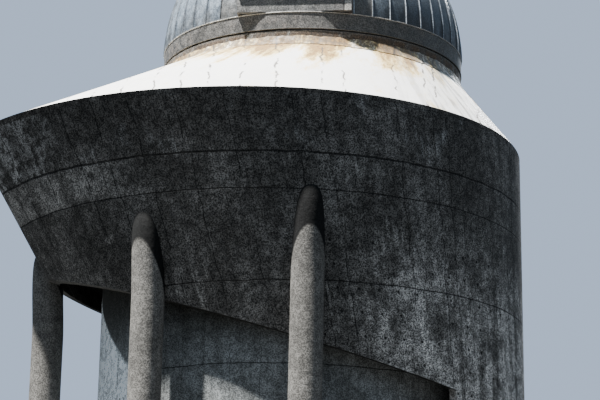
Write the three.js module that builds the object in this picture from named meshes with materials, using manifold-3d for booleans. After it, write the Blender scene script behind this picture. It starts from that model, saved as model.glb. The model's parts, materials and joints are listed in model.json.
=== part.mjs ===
// A concrete observatory: a flared shell on round columns around a drum, an oblique cone roof and a ribbed dome.
// Sizes are in millimetres, +Z is up, the front faces -Y and the origin is on the ground under the dome's axis.
// A bearing is an angle in plan, in degrees from the front, growing towards +X.
import * as THREE from 'three';
import { mergeVertices } from 'three/addons/utils/BufferGeometryUtils.js';
import Module from 'manifold-3d';

const wasm = await Module();
wasm.setup();

// Clearances
const FIT = 0.3;
const CUT_FIT = 0.5;
const RUNNING = 5;
const MERGE_DISTANCE = 0.001;

// Dome: its sphere's centre stands on the top edge of the skirt
const DOME_RADIUS = 4000;
const DOME_CENTRE_LEVEL = 12150;
const DOME_SKIN = 30;
const SKIRT_HEIGHT = 450;
const DOME_GORES = 48;
const SEAM_BEARINGS = [65.2, 115.4];

// Curb, and the rail on it that carries the dome
const CURB_RADIUS = 3850;
const CURB_WIDTH = 200;
const CURB_TOP = DOME_CENTRE_LEVEL - SKIRT_HEIGHT - RUNNING;
const CURB_DEPTH = 395;
const RAIL_RADIUS = 3700;
const RAIL_WIDTH = 60;
const RAIL_HEIGHT = 60;
const FLANGE_INNER_RADIUS = 3640;
const FLANGE_THICKNESS = 80;

// Slit and the one-piece shutter that runs up and over the dome
const SLIT_BEARING = -7.6;
const SLIT_WIDTH = 2400;
const SLIT_END_ELEVATION = 98;
const SHUTTER_WIDTH = 2920;
const SHUTTER_START = 8;
const SHUTTER_END = 105;
const SHUTTER_OUTER_RADIUS = 4060;
const SHUTTER_SKIN = 25;
const SHUTTER_END_GAP = 10;
const APRON_START = 0.435;
const APRON_RADIUS = 3948;
const SLIT_RAIL_TOP = 3800;
const SLIT_RAIL_WIDTH = 80;
const SHOE_LENGTH = 1;
const ARC_STEP = 3.5;

// Roof: an oblique cone from the curb down to the rim
const ROOF_TOP = 11450;
const ROOF_THICKNESS = 140;
const ROOF_QUARTERS = 4;
const SEAT_LAP = 0.0003;
const TRIM_LAP = 0.25;
const TRIM_HEIGHT = 750;

// Plans of the flared shell at two levels: a circle off the axis that swells to a blunt nose.
// Between and below the two levels every measure grows in proportion to height.
const LOW_PLAN = { level: 2500, centre: 400, radius: 5250, swell: 25 };
const RIM_PLAN = { level: 9300, centre: -1080, radius: 6615, swell: 715 };
const NOSE_BEARING = -76;
const NOSE_REACH = 78;
const SHELL_WALL = 250;
const RIM_JOINT_LEVEL = 7800;

// The shell's bottom edge lies in one tilted plane, except where the wall goes down to the ground
const EDGE_LEVEL = 3895;
const EDGE_RISE_X = -0.281;
const EDGE_RISE_Y = 0.079;
const GROUNDED_START = 37.5;
const GROUNDED_SEGMENTS = 2;
const SHELL_SEGMENTS = 8;
const STEPS_PER_SEGMENT = 9;

// Drum, its doorway and the slab between drum and shell
const DRUM_CENTRE = -400;
const DRUM_RADIUS = 4950;
const DRUM_WALL = 250;
const DRUM_SEGMENTS = 4;
const DRUM_STEPS = 14;
const SLAB_LEVEL = 6250;
const SLAB_THICKNESS = 200;
const SLAB_HALVES = 2;
const SLAB_REACH = 190;
const FLOOR_THICKNESS = 150;
const DOOR_BEARING = 166;
const DOOR_CLEAR_WIDTH = 900;
const DOOR_CLEAR_HEIGHT = 2100;
const DOOR_FRAME_WIDTH = 70;
const DOOR_FRAME_DEPTH = 110;
const DOOR_LEAF_THICKNESS = 45;

// Columns: bearing of each from the shell's own centre, and the level where its front meets the flare
const COLUMN_RADIUS = 400;
const COLUMN_SIDES = 36;
const COLUMN_CUT_DEPTH = 2400;
const COLUMNS = [
  { bearing: 5.4, meets: 7000 },
  { bearing: -35.3, meets: 6500 },
  { bearing: -83.6, meets: 6370 },
  { bearing: -128, meets: 6500 },
  { bearing: -171, meets: 6900 },
  { bearing: 145, meets: 7000 },
];

const rad = THREE.MathUtils.degToRad;

const concrete = material(0x4c4b46, 0.92, 0);
const rimConcrete = material(0x3a3934, 0.93, 0);
const columnConcrete = material(0x77756c, 0.9, 0);
const drumConcrete = material(0x86837a, 0.9, 0);
const roofPaint = material(0xc9c7bf, 0.7, 0);
const domeMetal = material(0x8d9298, 0.42, 0.85);
const shutterMetal = material(0x7c8186, 0.45, 0.85);
const railSteel = material(0x5a4a3f, 0.6, 0.7);
const curbSteel = material(0x6b4a36, 0.75, 0.5);
const doorPaint = material(0x5d666b, 0.55, 0.2);

function material(color, roughness, metalness) {
  return new THREE.MeshStandardMaterial({ color, roughness, metalness });
}

function piece(name, geometry, surface) {
  const mesh = new THREE.Mesh(geometry, surface);
  mesh.name = name;
  return mesh;
}

// A closed geometry as a solid for cutting and joining
function toSolid(geometry) {
  const bare = geometry.clone();
  bare.deleteAttribute('normal');
  bare.deleteAttribute('uv');
  const merged = mergeVertices(bare, MERGE_DISTANCE);
  const vertProperties = new Float32Array(merged.attributes.position.array);
  const triVerts = new Uint32Array(merged.index.array);
  return new wasm.Manifold(new wasm.Mesh({ numProp: 3, vertProperties, triVerts }));
}

// The triangles of a cut solid as a geometry with flat faces
function toGeometry(solid) {
  const mesh = solid.getMesh();
  const geometry = new THREE.BufferGeometry();
  geometry.setAttribute('position', new THREE.BufferAttribute(mesh.vertProperties, 3));
  geometry.setIndex(new THREE.BufferAttribute(mesh.triVerts, 1));
  return withFlatFaces(geometry);
}

function withFlatFaces(geometry) {
  const flat = geometry.toNonIndexed();
  flat.computeVertexNormals();
  return flat;
}

// A block bent into any six-sided curved body. The map turns (u, v, w), each from 0 to 1, into a point:
// u runs around or across, v up or along, and w from the inner face to the outer one.
function bentBlock(stepsU, stepsV, map) {
  const block = new THREE.BoxGeometry(1, 1, 1, stepsU, stepsV, 1);
  const points = block.attributes.position;
  for (let i = 0; i < points.count; i += 1) {
    const target = map(points.getX(i) + 0.5, points.getY(i) + 0.5, points.getZ(i) + 0.5);
    points.setXYZ(i, ...target);
  }
  return withFlatFaces(block);
}

// A full ring about the vertical axis from a profile of [radius, level] points, outer side going up
function ring(profile, sides) {
  const outline = [...profile, profile[0]].map(([radius, level]) => new THREE.Vector2(radius, level));
  return new THREE.LatheGeometry(outline, sides).rotateX(Math.PI / 2);
}

function mix(from, to, share) {
  return from + (to - from) * share;
}

// A point of the shell's outer face moved horizontally inward, at a bearing from the plan's own centre
function shellPoint(bearing, level, inward) {
  const share = (level - LOW_PLAN.level) / (RIM_PLAN.level - LOW_PLAN.level);
  const centre = mix(LOW_PLAN.centre, RIM_PLAN.centre, share);
  const fromNose = Math.abs(THREE.MathUtils.euclideanModulo(bearing - NOSE_BEARING + 180, 360) - 180);
  const swollen = rad(Math.max(0, NOSE_REACH - fromNose)) ** 2;
  const radius = mix(LOW_PLAN.radius, RIM_PLAN.radius, share) - inward
    + swollen * mix(LOW_PLAN.swell, RIM_PLAN.swell, share);
  return [centre + radius * Math.sin(rad(bearing)), -radius * Math.cos(rad(bearing)), level];
}

// The level at which a line of the shell, straight from ground to rim, passes the tilted bottom plane
function edgeLevel(bearing, inward) {
  const height = RIM_PLAN.level;
  const [lowX, lowY] = shellPoint(bearing, 0, inward);
  const [highX, highY] = shellPoint(bearing, height, inward);
  const atGround = EDGE_LEVEL + EDGE_RISE_X * lowX + EDGE_RISE_Y * lowY;
  const riseWithLevel = (EDGE_RISE_X * (highX - lowX) + EDGE_RISE_Y * (highY - lowY)) / height;
  return atGround / (1 - riseWithLevel);
}

// Half of the joint between two neighbouring wall segments, as an angle
function jointAngle(radius) {
  return THREE.MathUtils.radToDeg(FIT / 2 / radius);
}

function segmentBearing(index, count, u, radius) {
  const gap = jointAngle(radius);
  const width = 360 / count;
  return GROUNDED_START + index * width + mix(gap, width - gap, u);
}

// A segment of the flared wall, from its bottom edge or the ground up to the rim joint
function flareWall(index) {
  const grounded = index < GROUNDED_SEGMENTS;
  return bentBlock(STEPS_PER_SEGMENT, 1, (u, v, w) => {
    const bearing = segmentBearing(index, SHELL_SEGMENTS, u, LOW_PLAN.radius);
    const inward = SHELL_WALL * (1 - w);
    const bottom = grounded ? 0 : edgeLevel(bearing, inward);
    return shellPoint(bearing, mix(bottom, RIM_JOINT_LEVEL - FIT, v), inward);
  });
}

// A stretch of the cone between rim and curb, from one depth below its outer face to another,
// lengthened outward past the rim by a share of its length
function coneBlock(index, count, lowDrop, highDrop, lap, past) {
  const steps = STEPS_PER_SEGMENT * SHELL_SEGMENTS / count;
  const width = 360 / count;
  return bentBlock(steps, 1, (u, v, w) => {
    const bearing = GROUNDED_START + index * width + mix(-lap, width + lap, u);
    const drop = mix(lowDrop, highDrop, w);
    const eave = shellPoint(bearing, RIM_PLAN.level, 0);
    const below = shellPoint(bearing, RIM_PLAN.level - drop, 0);
    const inner = CURB_RADIUS + FIT;
    const top = [inner * Math.sin(rad(bearing)), -inner * Math.cos(rad(bearing)), ROOF_TOP];
    const lean = Math.sign(drop) * Math.hypot(eave[0] - below[0], eave[1] - below[1]);
    const along = mix(-past, 1, v);
    const share = mix(lean / Math.hypot(eave[0] - top[0], eave[1] - top[1]), 1, along);
    return [mix(eave[0], top[0], share), mix(eave[1], top[1], share), mix(eave[2], top[2], along) - drop];
  });
}

// A quarter of the roof, straight from the rim up to the curb, with its lower edge flush with the wall
function roofSlab(index, count) {
  return coneBlock(index, count, ROOF_THICKNESS, 0, -jointAngle(CURB_RADIUS), 0);
}

// A quarter of the darker wall band between the rim joint and the roof, cut off under the roof
function rimWall(index, count) {
  const steps = STEPS_PER_SEGMENT * SHELL_SEGMENTS / count;
  let wall = toSolid(bentBlock(steps, 1, (u, v, w) => {
    const bearing = segmentBearing(index, count, u, LOW_PLAN.radius);
    const top = RIM_PLAN.level + SHELL_WALL;
    return shellPoint(bearing, mix(RIM_JOINT_LEVEL, top, v), SHELL_WALL * (1 - w));
  }));
  for (let i = 0; i < count; i += 1) {
    const lap = jointAngle(LOW_PLAN.radius);
    const seat = coneBlock(i, count, ROOF_THICKNESS + CUT_FIT, 0, lap, SEAT_LAP);
    const above = coneBlock(i, count, ROOF_THICKNESS - RUNNING, -TRIM_HEIGHT, lap, TRIM_LAP);
    wall = wall.subtract(toSolid(seat)).subtract(toSolid(above));
  }
  return toGeometry(wall);
}

function drumPoint(bearing, radius, level) {
  return [DRUM_CENTRE + radius * Math.sin(rad(bearing)), -radius * Math.cos(rad(bearing)), level];
}

// Half of the slab that ties the drum to the shell and closes the space between them from below
function gallerySlab(index, count) {
  const steps = STEPS_PER_SEGMENT * SHELL_SEGMENTS / count;
  const roundDrum = (DRUM_RADIUS + FIT) / Math.cos(Math.PI / (steps * count));
  const slab = bentBlock(steps, 1, (u, v, w) => {
    const bearing = segmentBearing(index, count, u, DRUM_RADIUS);
    const level = SLAB_LEVEL + SLAB_THICKNESS * v;
    const inner = drumPoint(bearing, roundDrum, level);
    const outer = shellPoint(bearing, SLAB_LEVEL, SHELL_WALL - SLAB_REACH);
    return [mix(inner[0], outer[0], w), mix(inner[1], outer[1], w), level];
  });
  return toGeometry(clearOfFlare(toSolid(slab), SHELL_WALL + CUT_FIT));
}

// Half of the doorway's width as an angle at the drum's inner face
function doorwayHalfAngle() {
  const half = DOOR_CLEAR_WIDTH / 2 + DOOR_FRAME_WIDTH + FIT;
  return THREE.MathUtils.radToDeg(Math.asin(half / (DRUM_RADIUS - DRUM_WALL)));
}

// A stretch of the drum's wall between two bearings and two levels
function drumStretch(start, end, bottom, top, steps) {
  return bentBlock(steps, 1, (u, v, w) => {
    const radius = DRUM_RADIUS - DRUM_WALL * (1 - w);
    return drumPoint(mix(start, end, u), radius, mix(bottom, top, v));
  });
}

function drumWall(index) {
  const half = doorwayHalfAngle();
  const width = (360 - 2 * half) / DRUM_SEGMENTS;
  const start = DOOR_BEARING + half + index * width;
  const gap = jointAngle(DRUM_RADIUS);
  return drumStretch(start + gap, start + width - gap, 0, SLAB_LEVEL + SLAB_THICKNESS, DRUM_STEPS);
}

function doorLintel() {
  const half = doorwayHalfAngle() - 2 * jointAngle(DRUM_RADIUS);
  const bottom = DOOR_CLEAR_HEIGHT + DOOR_FRAME_WIDTH + FIT;
  const top = SLAB_LEVEL + SLAB_THICKNESS;
  return drumStretch(DOOR_BEARING - half, DOOR_BEARING + half, bottom, top, 2);
}

// A frame of two posts and a head, standing on the ground, centred on the local Y axis
function doorFrame() {
  const inner = DOOR_CLEAR_WIDTH / 2;
  const outer = inner + DOOR_FRAME_WIDTH;
  const outline = new THREE.Shape();
  outline.moveTo(-outer, 0);
  outline.lineTo(-inner, 0);
  outline.lineTo(-inner, DOOR_CLEAR_HEIGHT);
  outline.lineTo(inner, DOOR_CLEAR_HEIGHT);
  outline.lineTo(inner, 0);
  outline.lineTo(outer, 0);
  outline.lineTo(outer, DOOR_CLEAR_HEIGHT + DOOR_FRAME_WIDTH);
  outline.lineTo(-outer, DOOR_CLEAR_HEIGHT + DOOR_FRAME_WIDTH);
  outline.closePath();
  const frame = new THREE.ExtrudeGeometry(outline, { depth: DOOR_FRAME_DEPTH, bevelEnabled: false });
  return frame.rotateX(Math.PI / 2);
}

function doorLeaf() {
  const width = DOOR_CLEAR_WIDTH - 2 * FIT;
  const height = DOOR_CLEAR_HEIGHT - 2 * FIT;
  const leaf = new THREE.BoxGeometry(width, DOOR_LEAF_THICKNESS, height);
  return leaf.translate(0, -DOOR_FRAME_DEPTH / 2, height / 2 + FIT);
}

// The door stands in the doorway, with its frame's inner side a little outside the wall's inner face
function door() {
  const group = new THREE.Group();
  group.position.set(...drumPoint(DOOR_BEARING, DRUM_RADIUS - DRUM_WALL, 0));
  group.rotation.z = rad(DOOR_BEARING);
  group.add(piece('door_frame', doorFrame(), doorPaint));
  group.add(piece('door_leaf', doorLeaf(), doorPaint));
  return group;
}

function groundFloor() {
  const halfStep = rad((180 - doorwayHalfAngle()) / (DRUM_SEGMENTS * DRUM_STEPS));
  const radius = (DRUM_RADIUS - DRUM_WALL) * Math.cos(halfStep) - CUT_FIT;
  const disc = new THREE.CylinderGeometry(radius, radius, FLOOR_THICKNESS, DRUM_SEGMENTS * DRUM_STEPS);
  return disc.rotateX(Math.PI / 2).translate(DRUM_CENTRE, 0, FLOOR_THICKNESS / 2);
}

// The space that a flared wall segment takes up, a hair larger, and as far inward as the given depth
function flareEnvelope(index, depth) {
  const grounded = index < GROUNDED_SEGMENTS;
  const width = 360 / SHELL_SEGMENTS;
  const lap = jointAngle(LOW_PLAN.radius);
  return toSolid(bentBlock(STEPS_PER_SEGMENT, 1, (u, v, w) => {
    const bearing = GROUNDED_START + index * width + mix(-lap, width + lap, u);
    const inward = mix(depth, -CUT_FIT, w);
    const bottom = grounded ? -FIT : edgeLevel(bearing, inward) - CUT_FIT;
    return shellPoint(bearing, mix(bottom, RIM_JOINT_LEVEL + FIT, v), inward);
  }));
}

function clearOfFlare(solid, depth) {
  let cleared = solid;
  for (let i = 0; i < SHELL_SEGMENTS; i += 1) {
    cleared = cleared.subtract(flareEnvelope(i, depth));
  }
  return cleared;
}

// A round column whose top is cut away by the flare that leans out over it
function column({ bearing, meets }) {
  const [x, y] = shellPoint(bearing, meets, COLUMN_RADIUS);
  const height = RIM_JOINT_LEVEL - FIT;
  const shaft = new THREE.CylinderGeometry(COLUMN_RADIUS, COLUMN_RADIUS, height, COLUMN_SIDES);
  shaft.rotateX(Math.PI / 2).translate(x, y, height / 2);
  return toGeometry(clearOfFlare(toSolid(shaft), COLUMN_CUT_DEPTH));
}

function curb() {
  const inner = CURB_RADIUS - CURB_WIDTH;
  const bottom = CURB_TOP - CURB_DEPTH;
  const profile = [[inner, bottom], [CURB_RADIUS, bottom], [CURB_RADIUS, CURB_TOP], [inner, CURB_TOP]];
  return ring(profile, STEPS_PER_SEGMENT * SHELL_SEGMENTS).rotateZ(rad(GROUNDED_START));
}

function domeRail() {
  const inner = RAIL_RADIUS - RAIL_WIDTH / 2;
  const outer = RAIL_RADIUS + RAIL_WIDTH / 2;
  const bottom = CURB_TOP + FIT;
  const top = bottom + RAIL_HEIGHT;
  return ring([[inner, bottom], [outer, bottom], [outer, top], [inner, top]], DOME_GORES);
}

// The skirt with the flange inside it that runs on the rail, below the dome sphere's centre
function domeSkirt() {
  const inner = DOME_RADIUS - DOME_SKIN;
  const flangeBottom = CURB_TOP + RAIL_HEIGHT + 2 * FIT - DOME_CENTRE_LEVEL;
  const flangeTop = flangeBottom + FLANGE_THICKNESS;
  return ring([
    [inner, -SKIRT_HEIGHT],
    [DOME_RADIUS, -SKIRT_HEIGHT],
    [DOME_RADIUS, 0],
    [inner, 0],
    [inner, flangeTop],
    [FLANGE_INNER_RADIUS, flangeTop],
    [FLANGE_INNER_RADIUS, flangeBottom],
    [inner, flangeBottom],
  ], DOME_GORES);
}

// A quarter arc of [radius, level] points from the top of the dome down to its base
function domeArc(radius, base) {
  const points = [];
  const rows = DOME_GORES / 4;
  for (let i = 0; i < rows; i += 1) {
    const angle = Math.PI / 2 * (1 - i / rows);
    points.push(new THREE.Vector2(i === 0 ? 0 : radius * Math.cos(angle), radius * Math.sin(angle)));
  }
  points.push(new THREE.Vector2(radius, base));
  return points;
}

// A solid half sphere standing on the given base level
function filledDome(radius, base) {
  const outline = [new THREE.Vector2(0, base), ...domeArc(radius, base).reverse()];
  return toSolid(new THREE.LatheGeometry(outline, DOME_GORES).rotateX(Math.PI / 2));
}

function box(size, centre) {
  return toSolid(new THREE.BoxGeometry(...size).translate(...centre));
}

// A point of the shutter's arcs: across the slit, at an elevation from the front, at a distance from the axis
function arcPoint(across, elevation, distance) {
  return [across, -distance * Math.cos(rad(elevation)), distance * Math.sin(rad(elevation))];
}

// A bar that follows the arc between two elevations, with a four-sided section
function arcBar(near, far, start, end, innerRadius, outerRadius) {
  const steps = Math.max(1, Math.ceil((end - start) / ARC_STEP));
  return bentBlock(1, steps, (u, v, w) => (
    arcPoint(mix(near, far, u), mix(start, end, v), mix(innerRadius, outerRadius, w))
  ));
}

// The opening that the shutter covers, cut from the front horizon to just past the top
function slitCutter() {
  const half = SLIT_WIDTH / 2;
  return toSolid(arcBar(-half, half, -ARC_STEP, SLIT_END_ELEVATION, DOME_RADIUS / 2, DOME_RADIUS * 1.2));
}

function wholeSkin() {
  return filledDome(DOME_RADIUS, FIT).subtract(filledDome(DOME_RADIUS - DOME_SKIN, -1));
}

// All that lies in front of the upright plane through the dome's axis at a standing seam, or behind it
function besideSeam(side, bearing, end) {
  const reach = 3 * DOME_RADIUS;
  const half = box([reach, reach, reach], [0, end * (reach + FIT) / 2, 0]);
  return half.rotate([0, 0, side * (bearing - 90)]);
}

// The dome's skin beside the slit, as its front, middle and rear parts, which meet at standing seams.
// The side is a sign, negative at the left.
function domeSide(side) {
  const reach = 3 * DOME_RADIUS;
  const skin = wholeSkin().intersect(box([reach, reach, reach], [side * (reach + SLIT_WIDTH) / 2, 0, 0]));
  const [first, second] = SEAM_BEARINGS;
  const front = skin.intersect(besideSeam(side, first, -1));
  const middle = skin.intersect(besideSeam(side, first, 1)).intersect(besideSeam(side, second, -1));
  const rear = skin.intersect(besideSeam(side, second, 1));
  return [front, middle, rear].map(toGeometry);
}

// The strip of skin between the two sides, from the slit's upper end down the back
function domeBack() {
  const reach = 3 * DOME_RADIUS;
  const between = box([SLIT_WIDTH - 2 * FIT, reach, reach], [0, 0, 0]);
  return toGeometry(wholeSkin().intersect(between).subtract(slitCutter()));
}

// A rail on the dome beside the slit, from the front horizon over the top to the back one
function slitRail(side) {
  const outer = side * SHUTTER_WIDTH / 2;
  const inner = side * (SHUTTER_WIDTH / 2 - SLIT_RAIL_WIDTH);
  const [near, far] = side > 0 ? [inner, outer] : [outer, inner];
  const bar = arcBar(near, far, 0, 180, SLIT_RAIL_TOP - 2 * SLIT_RAIL_WIDTH, SLIT_RAIL_TOP);
  const floor = box([2 * DOME_RADIUS, 2 * DOME_RADIUS, SLIT_RAIL_WIDTH], [0, 0, FIT - SLIT_RAIL_WIDTH / 2]);
  return toGeometry(toSolid(bar).subtract(filledDome(DOME_RADIUS + CUT_FIT, -1)).subtract(floor));
}

// The bottom of the shutter's side plates, which clears the rail except at the shoes
const CHEEK_RADIUS = SLIT_RAIL_TOP + 3 * RUNNING;

// The angle that a length takes up along the shutter's arc
function arcAngle(length) {
  return THREE.MathUtils.radToDeg(length / SHUTTER_OUTER_RADIUS);
}

function shutterCover() {
  const half = SHUTTER_WIDTH / 2;
  const inner = SHUTTER_OUTER_RADIUS - SHUTTER_SKIN;
  return arcBar(-half, half, SHUTTER_START, SHUTTER_END, inner, SHUTTER_OUTER_RADIUS);
}

// The shutter's lower end: a set-back front plate with side returns, a floor and a web out to the cover
function shutterApron() {
  const half = SHUTTER_WIDTH / 2;
  const top = SHUTTER_START - arcAngle(FIT);
  const plate = APRON_RADIUS - SHUTTER_SKIN;
  const parts = [
    arcBar(-half, half, APRON_START, top, plate, APRON_RADIUS),
    arcBar(-half, -half + SHUTTER_SKIN, APRON_START, top, CHEEK_RADIUS, APRON_RADIUS),
    arcBar(half - SHUTTER_SKIN, half, APRON_START, top, CHEEK_RADIUS, APRON_RADIUS),
    arcBar(-half, half, APRON_START, APRON_START + arcAngle(SHUTTER_SKIN), CHEEK_RADIUS, APRON_RADIUS),
    arcBar(-half, half, top - arcAngle(SHUTTER_SKIN), top, plate, SHUTTER_OUTER_RADIUS),
  ];
  return toGeometry(parts.map(toSolid).reduce((apron, part) => apron.add(part)));
}

// A side plate of the shutter with a shoe near each end and one between, which ride on the rail
function shutterCheek(side) {
  const outer = side * SHUTTER_WIDTH / 2;
  const inner = side * (SHUTTER_WIDTH / 2 - SHUTTER_SKIN);
  const [near, far] = side > 0 ? [inner, outer] : [outer, inner];
  const top = SHUTTER_OUTER_RADIUS - SHUTTER_SKIN - 2 * FIT;
  let cheek = toSolid(arcBar(near, far, SHUTTER_START, SHUTTER_END, CHEEK_RADIUS, top));
  const middle = (SHUTTER_START + SHUTTER_END) / 2;
  for (const place of [SHUTTER_START + SHOE_LENGTH, middle, SHUTTER_END - SHOE_LENGTH]) {
    const start = place - SHOE_LENGTH / 2;
    const base = SLIT_RAIL_TOP + CUT_FIT;
    const shoe = arcBar(near, far, start, start + SHOE_LENGTH, base, CHEEK_RADIUS + SHUTTER_SKIN);
    cheek = cheek.add(toSolid(shoe));
  }
  return toGeometry(cheek);
}

// The plate that closes the shutter's upper end between its side plates, shaped to the dome below it
function shutterEnd() {
  const half = SHUTTER_WIDTH / 2 - SHUTTER_SKIN - FIT;
  const start = SHUTTER_END - 1;
  const top = SHUTTER_OUTER_RADIUS - SHUTTER_SKIN - RUNNING / 2;
  const plate = arcBar(-half, half, start, start + arcAngle(SHUTTER_SKIN), CHEEK_RADIUS, top);
  return toGeometry(toSolid(plate).subtract(filledDome(DOME_RADIUS + SHUTTER_END_GAP, -1)));
}

function building() {
  const group = new THREE.Group();
  group.add(piece('ground_floor', groundFloor(), drumConcrete));
  for (let i = 0; i < DRUM_SEGMENTS; i += 1) {
    group.add(piece(`drum_wall_${i + 1}`, drumWall(i), drumConcrete));
  }
  group.add(piece('door_lintel', doorLintel(), drumConcrete));
  group.add(door());
  COLUMNS.forEach((place, i) => {
    group.add(piece(`column_${i + 1}`, column(place), columnConcrete));
  });
  for (let i = 0; i < SHELL_SEGMENTS; i += 1) {
    group.add(piece(`flare_wall_${i + 1}`, flareWall(i), concrete));
  }
  for (let i = 0; i < ROOF_QUARTERS; i += 1) {
    group.add(piece(`rim_wall_${i + 1}`, rimWall(i, ROOF_QUARTERS), rimConcrete));
    group.add(piece(`roof_slab_${i + 1}`, roofSlab(i, ROOF_QUARTERS), roofPaint));
  }
  for (let i = 0; i < SLAB_HALVES; i += 1) {
    group.add(piece(`gallery_slab_${i + 1}`, gallerySlab(i, SLAB_HALVES), concrete));
  }
  group.add(piece('dome_curb', curb(), curbSteel));
  group.add(piece('dome_rail', domeRail(), railSteel));
  return group;
}

function dome() {
  const group = new THREE.Group();
  group.position.z = DOME_CENTRE_LEVEL;
  group.rotation.z = rad(SLIT_BEARING);
  group.add(piece('dome_skirt', domeSkirt(), domeMetal));
  for (const [end, side] of [['left', -1], ['right', 1]]) {
    domeSide(side).forEach((skin, i) => group.add(piece(`dome_skin_${end}_${i + 1}`, skin, domeMetal)));
  }
  group.add(piece('dome_skin_back', domeBack(), domeMetal));
  group.add(piece('slit_rail_left', slitRail(-1), railSteel));
  group.add(piece('slit_rail_right', slitRail(1), railSteel));
  group.add(piece('shutter_cover', shutterCover(), shutterMetal));
  group.add(piece('shutter_cheek_left', shutterCheek(-1), shutterMetal));
  group.add(piece('shutter_cheek_right', shutterCheek(1), shutterMetal));
  group.add(piece('shutter_apron', shutterApron(), shutterMetal));
  group.add(piece('shutter_end', shutterEnd(), shutterMetal));
  return group;
}

const group = new THREE.Group();
group.add(building());
group.add(dome());

export default group;
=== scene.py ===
"""Looks of a concrete observatory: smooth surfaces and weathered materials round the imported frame.

Lengths are in metres in the part's own frame: +Z up, the front towards -Y, the origin on the ground
under the dome's axis. A bearing is an angle in plan from the front, growing towards +X.
"""

import json
import math

import bpy
import numpy as np
from mathutils import Matrix, Vector


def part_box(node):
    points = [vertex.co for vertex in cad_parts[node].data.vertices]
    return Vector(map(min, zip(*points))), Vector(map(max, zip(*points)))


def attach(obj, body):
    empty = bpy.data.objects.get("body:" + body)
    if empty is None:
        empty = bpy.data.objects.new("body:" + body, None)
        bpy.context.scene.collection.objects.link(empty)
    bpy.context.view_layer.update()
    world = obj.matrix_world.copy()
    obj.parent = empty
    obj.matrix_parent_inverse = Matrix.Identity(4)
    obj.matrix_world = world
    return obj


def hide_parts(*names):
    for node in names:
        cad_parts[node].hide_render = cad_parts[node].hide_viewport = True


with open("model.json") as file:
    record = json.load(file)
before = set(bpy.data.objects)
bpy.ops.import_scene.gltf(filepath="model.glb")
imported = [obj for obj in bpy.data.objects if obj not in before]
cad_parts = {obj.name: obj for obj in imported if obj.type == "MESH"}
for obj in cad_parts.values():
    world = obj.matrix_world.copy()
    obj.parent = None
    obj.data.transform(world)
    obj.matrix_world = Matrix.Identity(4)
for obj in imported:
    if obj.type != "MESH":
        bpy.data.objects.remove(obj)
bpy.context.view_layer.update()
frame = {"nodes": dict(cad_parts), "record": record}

# Camera of the photograph, and the floor round the building
PHOTO_WIDTH = 600
FOCAL_PIXELS = 2200
SENSOR_WIDTH = 36
CAMERA_PITCH = math.radians(15.065)
CAMERA_ROLL = math.radians(1.31)
CAMERA_PLACE = (-0.256, -56.261, -6.840)
CAMERA_REACH = 300
FLOOR_RADIUS = 15

# Dome, in the frame of its sphere's centre
DOME_CENTRE = 12.15
DOME_RADIUS = 4.0
SHEET_RADIUS = 3.988
DOME_SKIN = 0.03
SLIT_BEARING = math.radians(-7.6)
SLIT_HALF_WIDTH = 1.2
SLIT_END = math.radians(98)
FIRST_RIB = math.radians(29.3)
RIB_COUNT = 21
RIB_SPACING = (math.pi - FIRST_RIB) / RIB_COUNT
RIB_WIDTH = 0.028
RIB_HEIGHT = 0.03
LOW_RIB_HEIGHT = 0.018
BATTENS = np.array([-0.6, 0.0, 0.6])
BATTEN_HEIGHT = 0.006
FLANGE_INNER = 3.64
RING_STEPS = 240

# Shutter
SHUTTER_HALF_WIDTH = 1.46
SHUTTER_RADIUS = 4.06
SHUTTER_SKIN = 0.025
SHUTTER_START = math.radians(8)
SHUTTER_END = math.radians(105)
APRON_START = math.radians(0.435)
APRON_RADIUS = 3.948
CHEEK_RADIUS = 3.815
HEM_WIDTH = 0.05
HEM_HEIGHT = 0.012
LAP_HEIGHT = 0.008
LAPS = 9
LAP_DEGREES = 10
LAP_SPAN = 0.012
APRON_FLANGE = 0.17
APRON_GROOVE = 0.03

# Curb and roof. Each rusty place has its metres round from the front, its half width, and how much
# further its rust reaches.
CURB_RADIUS = 3.85
CURB_WIDTH = 0.2
CURB_TOP = 11.695
CURB_STEPS = 200
RAIL_HEIGHT = 0.06
COLLAR_TOP = 11.676
FILLET_SIZE = 0.15
ROOF_TOP = 11.45
ROOF_THICKNESS = 0.14
ROOF_QUARTERS = 4
RUN_SHIFT = 13.3
RUST_MIDDLE = -0.4
RUSTY_PLACES = [(-3.9, 1.6, 0.12), (-0.7, 1.0, 0.12), (0.4, 0.7, 0.3), (2.3, 0.6, 0.15)]

# Plans of the flared shell at two levels, as in the frame, and the levels of its casting joints
LOW_PLAN = {"level": 2.5, "centre": 0.4, "radius": 5.25, "swell": 0.025}
RIM_PLAN = {"level": 9.3, "centre": -1.08, "radius": 6.615, "swell": 0.715}
NOSE_BEARING = math.radians(-76)
NOSE_REACH = math.radians(78)
SHELL_WALL = 0.25
RIM_JOINT = 7.8
SHELL_LINES = (7.79, 6.94, 4.82)
RIM_LINES = (7.81,)
EDGE_PLANE = (3.895, -0.281, 0.079)
FIRST_SEGMENT = math.radians(37.5)
GROUNDED_SEGMENTS = 2
SHELL_SEGMENTS = 8
BOARD_PLAN_RADIUS = 6.2
BOARD_WIDTH = 0.3
FIT = 0.0003
CUT_FIT = 0.0005

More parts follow.
